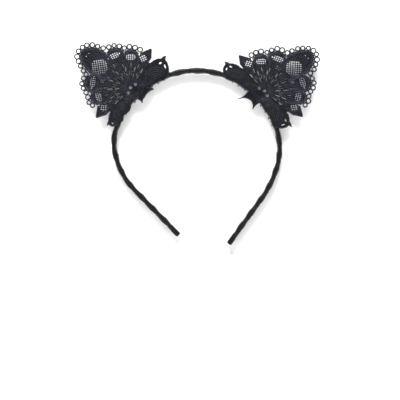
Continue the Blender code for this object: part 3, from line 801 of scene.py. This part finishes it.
def outline_paths(ear):
    paths = []
    bend = ear.shape["bend"]
    for index, petal in enumerate(PETALS):
        for direction, centre, along, across in both_sides(petal):
            lean = bend if index == 0 else 0.0
            turns = [math.radians(t) for t in range(-PETAL_SWEEP, PETAL_SWEEP + 1, 5)]
            cord = []
            for t in turns:
                out = (along - PETAL_INSET) * math.cos(t)
                aside = (across - PETAL_INSET) * math.sin(t)
                place = ear.by_ray(direction + lean, centre, out, aside)
                to_end = PETAL_SWEEP - abs(math.degrees(t))
                fade = min(1.0, to_end / PETAL_FADE + PETAL_THIN)
                proud = TIP_PROUD if index == 0 else CORD_PROUD
                cord.append((at_lace(place, proud), PETAL_CORD * fade))
            paths.append(cord)
    for sign in (1, -1):
        spike = []
        for k in range(41):
            angle = SPIKE["angle"] + SPIKE_RUN[0] + SPIKE_RUN[1] * k / 40
            reach = max(spike_reach(angle), FAN_ROOT if angle > SPIKE["angle"] else 0) - SPIKE_INSET
            if reach > 0:
                place = ear.on_ray(sign * angle, max(reach, FAN_ROOT))
                spike.append((at_lace(place, CORD_PROUD), SPIKE_CORD))
        paths.append(spike)
    for window in WINDOWS.values():
        for one in both_sides(window):
            paths.append(loop_path(oval(ear, one, CORD_OFFSET, 40), WINDOW_CORD))
    for one in both_sides(SIDE_EYELET):
        paths.append(loop_path(oval(ear, one, CORD_OFFSET, 16), EYELET_CORD))
    for eyelet in HUB_EYELETS:
        paths.append(loop_path(hub_loop(ear, eyelet, HUB_EYELET_HALF + HUB_OFFSET, 20), HUB_CORD))
    return paths


for name, ear in ears.items():
    cords = lay_cords(f"petal_cords_{name}", outline_paths(ear), sides=2, flatten=0.7)
    cords.data.materials.append(rayon[name])
    fold_with_ear(cords)

# ---------------------------------------------------------------- lace ears: window nets
# Fine net grounds fill the windows: single bars of thread that cross each other, stitched from
# edge to edge. The gaps between them show as small light squares.
NETS = {  # pitch along and across, turn from the ray in degrees
    "tip": (1.65, 1.65, 45.0),
    "inner": (1.6, 1.55, 0.0),
    "outer": (1.55, 1.5, 0.0),
    "spike": (1.55, 1.55, 45.0),
}
SIDE_NET = (1.3, 1.3)
NET_RADIUS = 0.4
NET_LAP = 0.3  # the bars' ends run this far into the ground
BAR_STEP = 1.5


def oval_crossings(half_x, half_y, run, aside, offset):
    """Where a line enters and leaves an oval, along the line; None where it passes outside."""
    square = (run[0] / half_x) ** 2 + (run[1] / half_y) ** 2
    linear = 2 * offset * (aside[0] * run[0] / half_x**2 + aside[1] * run[1] / half_y**2)
    rest = offset * offset * ((aside[0] / half_x) ** 2 + (aside[1] / half_y) ** 2) - 1
    root = linear * linear - 4 * square * rest
    if root <= 0:
        return None
    return [(-linear + sign * math.sqrt(root)) / (2 * square) for sign in (-1, 1)]


def net_paths(ear, window, pitches, turn):
    """Two sets of parallel bars across a window."""
    angle, reach, along, across = window
    half_x, half_y = along + NET_LAP, across + NET_LAP
    paths = []
    for pitch, way in ((pitches[0], turn), (pitches[1], turn + 90)):
        run = (math.cos(math.radians(way)), math.sin(math.radians(way)))
        aside = (-run[1], run[0])
        count = int(max(half_x, half_y) / pitch) + 1
        for i in range(-count, count + 1):
            offset = (i + 0.5) * pitch
            ends = oval_crossings(half_x, half_y, run, aside, offset)
            if ends is None:
                continue
            steps = max(1, round((ends[1] - ends[0]) / BAR_STEP))
            path = []
            for k in range(steps + 1):
                t = ends[0] + (ends[1] - ends[0]) * k / steps
                x, y = (aside[axis] * offset + run[axis] * t for axis in (0, 1))
                path.append((at_lace(ear.by_ray(angle, reach, x, y)), NET_RADIUS))
            paths.append(path)
    return paths


for name, ear in ears.items():
    for one, row in zip(both_sides(SIDE_EYELET), ("lower", "upper")):
        star = lay_cords(f"net_side_{row}_bars_{name}", net_paths(ear, one, SIDE_NET, 45.0))
        star.data.materials.append(rayon[name])
        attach(star, f"{name}_ear")
    for window_name, window in WINDOWS.items():
        for one in both_sides(window):
            row = {0: "", 1: "_lower", -1: "_upper"}[(one[0] > 0) - (one[0] < 0)]
            pitch_along, pitch_across, turn = NETS[window_name]
            bars = net_paths(ear, one, (pitch_across, pitch_along), turn)
            net = lay_cords(f"net_{window_name}{row}_bars_{name}", bars)
            net.data.materials.append(rayon[name])
            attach(net, f"{name}_ear")
            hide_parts(f"net_{window_name}{row}_{name}")

# ---------------------------------------------------------------- lace ears: picot edging
# Round the petals runs a row of small thread loops, each stitched as a ring on a short leg, with
# one more leg between two rings. A cord along the petals ties their feet together.
PICOT_RADIUS = 2.2
PICOT_CORD = 0.5
PICOT_SLIP = 0.33  # how unevenly the loops lie
PICOT_PULL = 0.2  # how much some are pulled smaller
PICOT_BASE = (0.65, 0.45)  # the cord that the loops stand on: off the petals, and its radius
PICOT_STANDOFF = 2.9  # from the fan's edge to the middles of the loops
PICOT_SPACING = 4.0
PICOT_HALF_ANGLE = 66.0  # the edging runs this far to either side of the tip
PICOT_TILT = 9.0  # degrees that a loop may be turned out of the lace's plane
PICOT_TRIES = 800  # places along the edging that are tried for the next loop
LEG_RADIUS = 0.3
LEG_LAP = 0.4  # how far a leg reaches into its loop's cord
BASE_STEPS = 132  # parts of the base cord on either side of the tip


def outline_run(ear):
    """Points close together along the fan's outline, as angle and distance from the hub."""
    return [(angle, ear.reach(angle)) for angle in fan_angles()]


def furthest(angle, middles, radius):
    """How far out a ray meets circles of one radius round points given as angle and reach."""
    reach = 0.0
    for middle_angle, middle_reach in middles:
        turn = math.radians(angle - middle_angle)
        across = middle_reach * math.sin(turn)
        if abs(turn) < math.pi / 2 and abs(across) < radius:
            reach = max(reach, middle_reach * math.cos(turn) + math.sqrt(radius**2 - across**2))
    return reach


def ray_offset(angle, reach):
    turn = math.radians(angle)
    return Vector((reach * math.sin(turn), reach * math.cos(turn)))


def picot_places(ear):
    run = outline_run(ear)
    rings = []
    for i in range(PICOT_TRIES + 1):
        angle = PICOT_HALF_ANGLE * (2 * i / PICOT_TRIES - 1)
        reach = furthest(angle, run, PICOT_STANDOFF)
        if not rings or (ray_offset(angle, reach) - ray_offset(*rings[-1])).length >= PICOT_SPACING:
            rings.append((angle, reach))
    return rings


def nearest_on_outline(run, place):
    spots = [ray_offset(angle, reach) for angle, reach in run]
    return min(spots, key=lambda spot: (spot - place).length)


for name, ear in ears.items():
    hand = random.Random(f"picots {name}")
    run = outline_run(ear)
    places = [ray_offset(*ring) for ring in picot_places(ear)]
    deselect()
    loops = []
    for place in places:
        slip = (hand.uniform(-PICOT_SLIP, PICOT_SLIP), hand.uniform(-PICOT_SLIP, PICOT_SLIP))
        spot = ear.on_fan(place.x + slip[0], place.y - HUB_DROP + slip[1])
        tilt = [hand.uniform(-PICOT_TILT, PICOT_TILT) for _ in range(2)]
        bpy.ops.mesh.primitive_torus_add(
            location=at_lace(spot) * MM,
            rotation=(math.radians(90 + tilt[0]), math.radians(tilt[1]), 0),
            major_segments=20,
            minor_segments=6,
            major_radius=(PICOT_RADIUS - PICOT_CORD + hand.uniform(-PICOT_PULL, PICOT_PULL)) * MM,
            minor_radius=PICOT_CORD * MM,
        )
        loops.append(bpy.context.object)
    legs = []
    feet = places + [(a + b) / 2 for a, b in zip(places, places[1:])]
    for place in feet:
        foot = nearest_on_outline(run, place)
        inward = (foot - place).normalized()
        top = place + inward * (PICOT_RADIUS - LEG_LAP if place in places else 0.0)
        leg = []
        for k in range(4):
            spot = top + (foot - top) * k / 3
            leg.append((at_lace(ear.on_fan(spot.x, spot.y - HUB_DROP)), LEG_RADIUS))
        legs.append(leg)
    base = []
    for i in range(2 * BASE_STEPS + 1):
        angle = PICOT_HALF_ANGLE * (i / BASE_STEPS - 1)
        spot = ear.on_ray(angle, furthest(angle, run, PICOT_BASE[0]))
        base.append((at_lace(spot), PICOT_BASE[1]))
    edging = lay_cords(f"picot_loops_{name}", legs + [base], flatten=1.0)
    deselect()
    for loop in loops:
        loop.select_set(True)
    edging.select_set(True)
    bpy.context.view_layer.objects.active = edging
    bpy.ops.object.join()
    edging.data.shade_smooth()
    edging.data.materials.append(rayon[name])
    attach(edging, f"{name}_ear")
    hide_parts(f"picot_edging_{name}")

# ---------------------------------------------------------------- lace ears: base spray
# Under the hub the motif spreads along the band in scrolls of satin stitch: two nests of arcs
# on either side, round arcs under the hub, and cords along the free edges, thorns and hooks.
SCROLLS = {19.0: (1.4, 2.8, 4.2, 5.6, 7.0, 8.3), 8.2: (1.3, 2.6, 3.9)}  # place along: radii
SCROLL_STRETCH = 1.15  # along the band
SCROLL_SINK = 0.4  # toward the band's middle
SCROLL_CORD = 0.46
SCROLL_SWEEP = (4, 172)  # where an arc starts, up from the band, and how far it runs, in degrees
HUB_ARCS = (6.6, 8.0, 9.4)
HUB_ARC_CORD = 0.42
HUB_ARC_SWEEP = (96, 168)
SPRAY_CORD = 0.5
EDGE_PROUD = 0.15
THORN_ROOT = (28.0, 9.2)
THORN_POINT = (32.3, 10.5)
THORN_BOW = 0.5
THORN_CORD = (0.55, 0.3)  # at its root and at its point
HOOK_CORD = (0.75, 0.35)


def tapered(ear, points, radii):
    """Cord along points of the spray that thins from its first point to its last."""
    thinning = (radii[0] - radii[1]) / (len(points) - 1)
    return [
        (at_lace(ear.on_band(s, h), EDGE_PROUD), radii[0] - thinning * i)
        for i, (s, h) in enumerate(points)
    ]


def spray_paths(ear):
    low = ear.shape["low_share"]
    paths = []
    for sign, share in ((1, low), (-1, 1.0)):
        for middle, radius in [(at, radius) for at, radii in SCROLLS.items() for radius in radii]:
            arc = []
            for k in range(25):
                t = math.radians(SCROLL_SWEEP[0] + SCROLL_SWEEP[1] * k / 24)
                s = sign * share * (middle + radius * SCROLL_STRETCH * math.cos(t))
                place = ear.on_band(s, radius * math.sin(t) - SCROLL_SINK)
                arc.append((at_lace(place, RIB_PROUD), SCROLL_CORD))
            paths.append(arc)
        edge = [(s * sign * share, h) for s, h in SPRAY_EDGE]
        border = []
        for start, end in zip(edge, edge[1:]):
            border += bowed(start, end, 0.0, 6)[:-1]
        border.append(edge[-1])
        paths.append([(at_lace(ear.on_band(s, h), EDGE_PROUD), SPRAY_CORD) for s, h in border])
        root, point = [(s * sign * share, h) for s, h in (THORN_ROOT, THORN_POINT)]
        paths.append(tapered(ear, bowed(root, point, THORN_BOW * sign, 8), THORN_CORD))
    for radius in HUB_ARCS:
        arc = []
        for k in range(37):
            angle = HUB_ARC_SWEEP[0] + HUB_ARC_SWEEP[1] * k / 36
            point = ear.on_ray(angle, radius)
            arc.append((at_lace(point, RIB_PROUD), HUB_ARC_CORD))
        paths.append(arc)
    return paths


def hook_paths(ear):
    """Tapered cords along both edges of each hook, out to its point."""
    paths = []
    for edge in hook_edges(ear):
        toward_tip = edge if edge[-1][1] < edge[0][1] else edge[::-1]
        paths.append(tapered(ear, toward_tip, HOOK_CORD))
    return paths


for name, ear in ears.items():
    spray = lay_cords(f"spray_cords_{name}", spray_paths(ear) + hook_paths(ear), flatten=0.7)
    spray.data.materials.append(rayon[name])
    fold_with_ear(spray)

# ---------------------------------------------------------------- seam threads
# Polyester sewing thread whips the spray to the band: over its edge, down the back and through
# the lace again every six millimetres.
THREAD_TWIST = 0.4


def sewing_thread():
    """Black spun polyester: matt, with a slight fuzz that catches light."""
    surface = {"Roughness": 0.62, "Specular IOR Level": 0.2, "Sheen Weight": 0.03}
    material, shader = new_material("black_sewing_thread", surface)
    place = add_node(material, "ShaderNodeTexCoord").outputs["Object"]
    twist = add_node(material, "ShaderNodeTexNoise", {"Vector": place, "Scale": 1 / (THREAD_TWIST * MM)})
    tint = two_tone(material, twist.outputs[0], "#08090c", "#15161b")
    feed(material, tint, shader.inputs["Base Color"])
    add_bump(material, shader, twist.outputs[0], 0.4, 0.05)
    return material


thread_material = sewing_thread()
for name in ARMS:
    thread = frame["nodes"][f"seam_thread_{name}"]
    thread.data.materials.clear()
    thread.data.materials.append(thread_material)

# ---------------------------------------------------------------- stage and light
# A pale floor under the tips, a white board just behind the band that takes its soft shadow, and
# one wide light from above and in front.
FLOOR_Z = -140.0
BOARD_Y = 5.5
FLOOR_SIZE = 6.0  # in metres, as the board's size and the light's places and size
BOARD_SIZE = 0.8
KEY_PLACE = (-0.12, -0.7, 0.8)
KEY_AIM = (0, 0, -0.05)
KEY_SIZE = 0.5
KEY_POWER = 18.5  # in watts
ROOM_LIGHT = 0.38  # the white room lights the object less than it shows behind it


def plain_white(name, colour):
    surface = {"Base Color": srgb(colour), "Roughness": 0.9, "Specular IOR Level": 0.0}
    return new_material(name, surface)[0]


deselect()
bpy.ops.mesh.primitive_plane_add(size=FLOOR_SIZE, location=(0, 0, FLOOR_Z * MM))
floor = bpy.context.object
floor.name = "floor"
floor.data.materials.append(plain_white("pale_floor", "#f7f7f7"))
bpy.ops.mesh.primitive_plane_add(
    size=BOARD_SIZE, location=(0, BOARD_Y * MM, -0.02), rotation=(math.radians(90), 0, 0)
)
board = bpy.context.object
board.name = "white_board"
board_white = plain_white("white_board", "#f9f9f9")
facing = add_node(board_white, "ShaderNodeNewGeometry").outputs["Backfacing"]
clear = add_node(board_white, "ShaderNodeBsdfTransparent")
surface = board_white.node_tree.nodes["Principled BSDF"].outputs[0]
one_sided = add_node(board_white, "ShaderNodeMixShader", {0: facing, 1: surface, 2: clear.outputs[0]})
feed(board_white, one_sided.outputs[0], board_white.node_tree.nodes["Material Output"].inputs["Surface"])
board.data.materials.append(board_white)

bpy.ops.object.light_add(type="AREA", location=KEY_PLACE)
key = bpy.context.object
key.data.size = KEY_SIZE
key.data.energy = KEY_POWER
key.rotation_euler = (Vector(KEY_AIM) - key.location).to_track_quat("-Z", "Y").to_euler()
world = bpy.data.worlds.new("studio_white")
bpy.context.scene.world = world
world.use_nodes = True
world.node_tree.nodes["Background"].inputs[0].default_value = (1, 1, 1, 1)
ray = world.node_tree.nodes.new("ShaderNodeLightPath")
dim = world.node_tree.nodes.new("ShaderNodeMapRange")
dim.inputs["To Min"].default_value = ROOM_LIGHT
world.node_tree.links.new(ray.outputs["Is Camera Ray"], dim.inputs["Value"])
world.node_tree.links.new(dim.outputs[0], world.node_tree.nodes["Background"].inputs[1])
